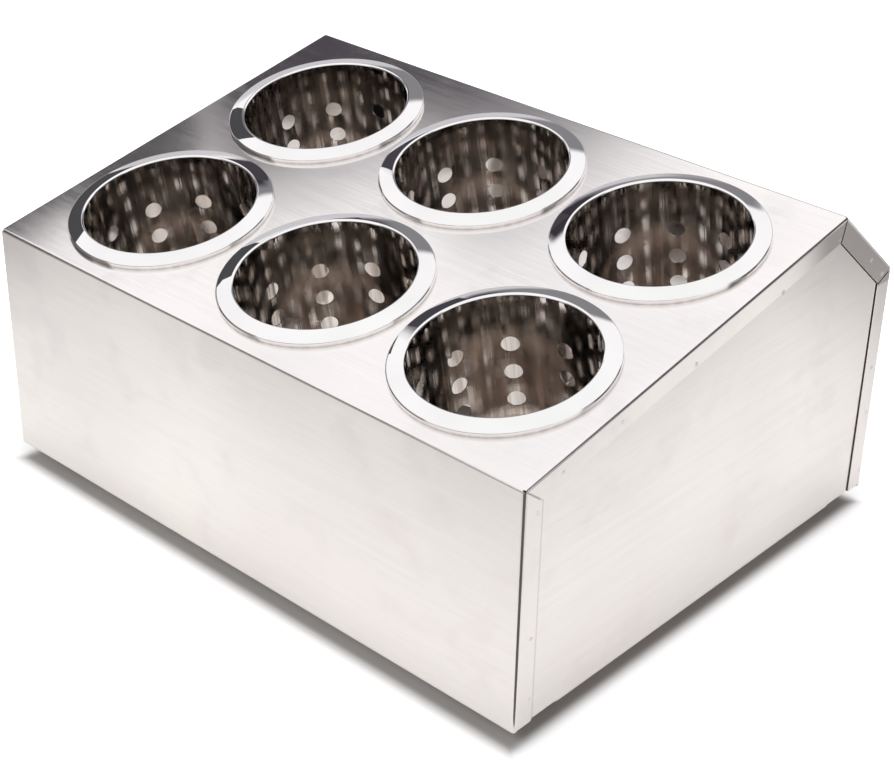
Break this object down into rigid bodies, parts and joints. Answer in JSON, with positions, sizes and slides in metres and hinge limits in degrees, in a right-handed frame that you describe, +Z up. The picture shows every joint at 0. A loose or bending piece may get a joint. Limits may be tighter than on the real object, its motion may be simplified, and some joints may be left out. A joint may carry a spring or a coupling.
{
  "type": "cutlery holder",
  "caption": "Free-standing stainless countertop cutlery holder: a folded sheet housing with a sloping deck and perforated cylinders that lift out.",
  "frame": {"origin": "on the table, under the middle of the housing's footprint", "axes": "+X along the width, to the right seen from the front; +Y from the front to the back; +Z up"},
  "size_m": [0.38, 0.304, 0.1986],
  "materials": {
    "satin_sheet": "satin stainless sheet with a fine grain",
    "polished_steel": "mirror-polished stainless steel",
    "foot_rubber": "matt black rubber",
    "fastener_steel": "plain stainless fastener"
  },
  "bodies": {
    "housing": {"housing_wrap": "satin_sheet", "left_end_panel": "satin_sheet", "right_end_panel": "satin_sheet", "foot_front_left": "foot_rubber", "foot_front_right": "foot_rubber", "foot_rear_left": "foot_rubber", "foot_rear_right": "foot_rubber", "foot_screws": "fastener_steel", "foot_nuts": "fastener_steel"},
    "cylinder_front_left": {"cylinder_front_left": "polished_steel"},
    "cylinder_front_middle": {"cylinder_front_middle": "polished_steel"},
    "cylinder_front_right": {"cylinder_front_right": "polished_steel"},
    "cylinder_rear_left": {"cylinder_rear_left": "polished_steel"},
    "cylinder_rear_middle": {"cylinder_rear_middle": "polished_steel"},
    "cylinder_rear_right": {"cylinder_rear_right": "polished_steel"}
  },
  "joints": [
    {"name": "cylinder_front_left_lift", "type": "slide", "parent": "housing", "child": "cylinder_front_left", "axis": [0, -0.1951, 0.9808], "range_m": [0, 0.15]},
    {"name": "cylinder_front_middle_lift", "type": "slide", "parent": "housing", "child": "cylinder_front_middle", "axis": [0, -0.1951, 0.9808], "range_m": [0, 0.15]},
    {"name": "cylinder_front_right_lift", "type": "slide", "parent": "housing", "child": "cylinder_front_right", "axis": [0, -0.1951, 0.9808], "range_m": [0, 0.15]},
    {"name": "cylinder_rear_left_lift", "type": "slide", "parent": "housing", "child": "cylinder_rear_left", "axis": [0, -0.1951, 0.9808], "range_m": [0, 0.15]},
    {"name": "cylinder_rear_middle_lift", "type": "slide", "parent": "housing", "child": "cylinder_rear_middle", "axis": [0, -0.1951, 0.9808], "range_m": [0, 0.15]},
    {"name": "cylinder_rear_right_lift", "type": "slide", "parent": "housing", "child": "cylinder_rear_right", "axis": [0, -0.1951, 0.9808], "range_m": [0, 0.15]}
  ]
}
